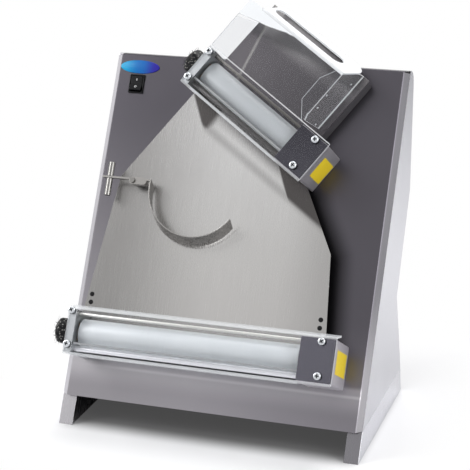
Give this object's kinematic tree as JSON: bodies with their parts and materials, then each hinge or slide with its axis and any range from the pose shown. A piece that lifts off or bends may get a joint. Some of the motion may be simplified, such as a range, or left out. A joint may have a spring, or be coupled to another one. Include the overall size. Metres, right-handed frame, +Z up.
{
  "type": "pizza dough roller machine",
  "caption": "Benchtop dough roller with a slanted steel body, an upper and a lower roller pair, a slide plate with a swinging turner and clear guards.",
  "frame": {"origin": "middle of the bounding box of the whole machine, on the floor under the foot rails", "axes": "+Z up; -Y is the front that the slanted panel faces; +X to the right of a person in front of it"},
  "size_m": [0.5, 0.3606, 0.6659],
  "materials": {
    "body_steel": "brushed stainless sheet",
    "plate_steel": "light brushed stainless sheet",
    "dark_steel": "mirror-like stainless sheet that reflects a dark room",
    "cast_aluminium": "fine milled",
    "polished_steel": "polished",
    "bronze": "machined bronze",
    "roller_plastic": "milky white, satin",
    "gear_metal": "cut steel gears, lightly greased",
    "motor_metal": "dark painted casing",
    "black_plastic": "glossy black",
    "clear_sheet": "clear bent sheet"
  },
  "bodies": {
    "machine_body": {"body_shell": "body_steel", "rear_cover": "body_steel", "base_pan": "body_steel", "left_foot_rail": "body_steel", "right_foot_rail": "body_steel", "cable_gland": "black_plastic", "slide_plate": "plate_steel", "slide_plate_left_rail": "body_steel", "slide_plate_right_rail": "body_steel", "switch_housing": "black_plastic", "feed_chute": "dark_steel", "chute_bracket": "body_steel", "feed_guard": "clear_sheet", "turner_pivot": "polished_steel", "lower_left_bracket": "cast_aluminium", "lower_drive_plate": "plate_steel", "lower_drive_housing": "body_steel", "lower_cover_plate": "dark_steel", "lower_roller_guard": "clear_sheet", "lower_tie_bar": "polished_steel", "lower_finger_bar": "polished_steel", "lower_scraper": "plate_steel", "lower_rear_bearing_left": "bronze", "lower_rear_bearing_right": "bronze", "lower_gearmotor": "motor_metal", "upper_left_bracket": "cast_aluminium", "upper_drive_plate": "plate_steel", "upper_drive_housing": "body_steel", "upper_cover_plate": "dark_steel", "upper_roller_guard": "clear_sheet", "upper_tie_bar": "polished_steel", "upper_finger_bar": "polished_steel", "upper_scraper": "plate_steel", "upper_rear_bearing_left": "bronze", "upper_rear_bearing_right": "bronze", "upper_gearmotor": "motor_metal"},
    "turner": {"turner_arm": "polished_steel", "turner_blade": "polished_steel", "turner_weight": "polished_steel"},
    "rocker": {"switch_rocker": "black_plastic"},
    "lower_knob": {"lower_thickness_knob": "black_plastic"},
    "lower_carriage": {"lower_front_block_left": "bronze", "lower_front_block_right": "bronze"},
    "lower_front_roller_set": {"lower_front_roller": "roller_plastic", "lower_front_shaft": "polished_steel", "lower_front_gear": "gear_metal"},
    "lower_rear_roller_set": {"lower_rear_roller": "roller_plastic", "lower_rear_shaft": "polished_steel", "lower_rear_gear": "gear_metal"},
    "lower_pinion_set": {"lower_motor_pinion": "gear_metal"},
    "upper_knob": {"upper_thickness_knob": "black_plastic"},
    "upper_carriage": {"upper_front_block_left": "bronze", "upper_front_block_right": "bronze"},
    "upper_front_roller_set": {"upper_front_roller": "roller_plastic", "upper_front_shaft": "polished_steel", "upper_front_gear": "gear_metal"},
    "upper_rear_roller_set": {"upper_rear_roller": "roller_plastic", "upper_rear_shaft": "polished_steel", "upper_rear_gear": "gear_metal"},
    "upper_pinion_set": {"upper_motor_pinion": "gear_metal"}
  },
  "joints": [
    {"name": "turner_swing", "type": "hinge", "parent": "machine_body", "child": "turner", "pos_m": [-0.1638, 0.03756, 0.35457], "axis": [0, -0.8811, 0.4729], "range_deg": [-55, 0], "stiffness_Nm_per_rad": 0.08, "springref_deg": 34.38},
    {"name": "power_switch", "type": "hinge", "parent": "machine_body", "child": "rocker", "pos_m": [-0.207, 0.12083, 0.50974], "axis": [1, 0, 0], "range_deg": [0, 18]},
    {"name": "lower_knob_turn", "type": "hinge", "parent": "machine_body", "child": "lower_knob", "pos_m": [-0.22275, -0.12998, 0.15656], "axis": [1, 0, 0], "range_deg": [-45, 135]},
    {"name": "lower_carriage_slide", "type": "slide", "parent": "machine_body", "child": "lower_carriage", "axis": [0, -0.8811, 0.4729], "range_m": [-0.001, 0.003]},
    {"name": "lower_rear_roller_spin", "type": "hinge", "parent": "machine_body", "child": "lower_rear_roller_set", "pos_m": [-0.005, -0.08892, 0.13452], "axis": [1, 0, 0], "continuous": true},
    {"name": "lower_front_roller_spin", "type": "hinge", "parent": "lower_carriage", "child": "lower_front_roller_set", "pos_m": [-0.005, -0.12998, 0.15656], "axis": [1, 0, 0], "continuous": true},
    {"name": "lower_pinion_spin", "type": "hinge", "parent": "machine_body", "child": "lower_pinion_set", "pos_m": [0.16575, -0.05373, 0.11564], "axis": [1, 0, 0], "continuous": true},
    {"name": "upper_knob_turn", "type": "hinge", "parent": "machine_body", "child": "upper_knob", "pos_m": [-0.07696, 0.08206, 0.55169], "axis": [0.8271, -0.2658, -0.4953], "range_deg": [-45, 135]},
    {"name": "upper_carriage_slide", "type": "slide", "parent": "machine_body", "child": "upper_carriage", "axis": [0, -0.8811, 0.4729], "range_m": [-0.001, 0.003]},
    {"name": "upper_rear_roller_spin", "type": "hinge", "parent": "machine_body", "child": "upper_rear_roller_set", "pos_m": [0.0311, 0.0884, 0.46495], "axis": [0.8271, -0.2658, -0.4953], "continuous": true},
    {"name": "upper_front_roller_spin", "type": "hinge", "parent": "upper_carriage", "child": "upper_front_roller_set", "pos_m": [0.0311, 0.04734, 0.48699], "axis": [0.8271, -0.2658, -0.4953], "continuous": true},
    {"name": "upper_pinion_spin", "type": "hinge", "parent": "machine_body", "child": "upper_pinion_set", "pos_m": [0.10028, 0.10136, 0.40463], "axis": [0.8271, -0.2658, -0.4953], "continuous": true}
  ],
  "couplings": [
    {"joint": "lower_knob_turn", "follows": "lower_carriage_slide", "rad_per_m": 785.3},
    {"joint": "lower_front_roller_spin", "follows": "lower_rear_roller_spin", "ratio": -1},
    {"joint": "lower_pinion_spin", "follows": "lower_rear_roller_spin", "ratio": -1.4},
    {"joint": "upper_knob_turn", "follows": "upper_carriage_slide", "rad_per_m": 785.3},
    {"joint": "upper_front_roller_spin", "follows": "upper_rear_roller_spin", "ratio": -1},
    {"joint": "upper_pinion_spin", "follows": "upper_rear_roller_spin", "ratio": -1.4}
  ]
}
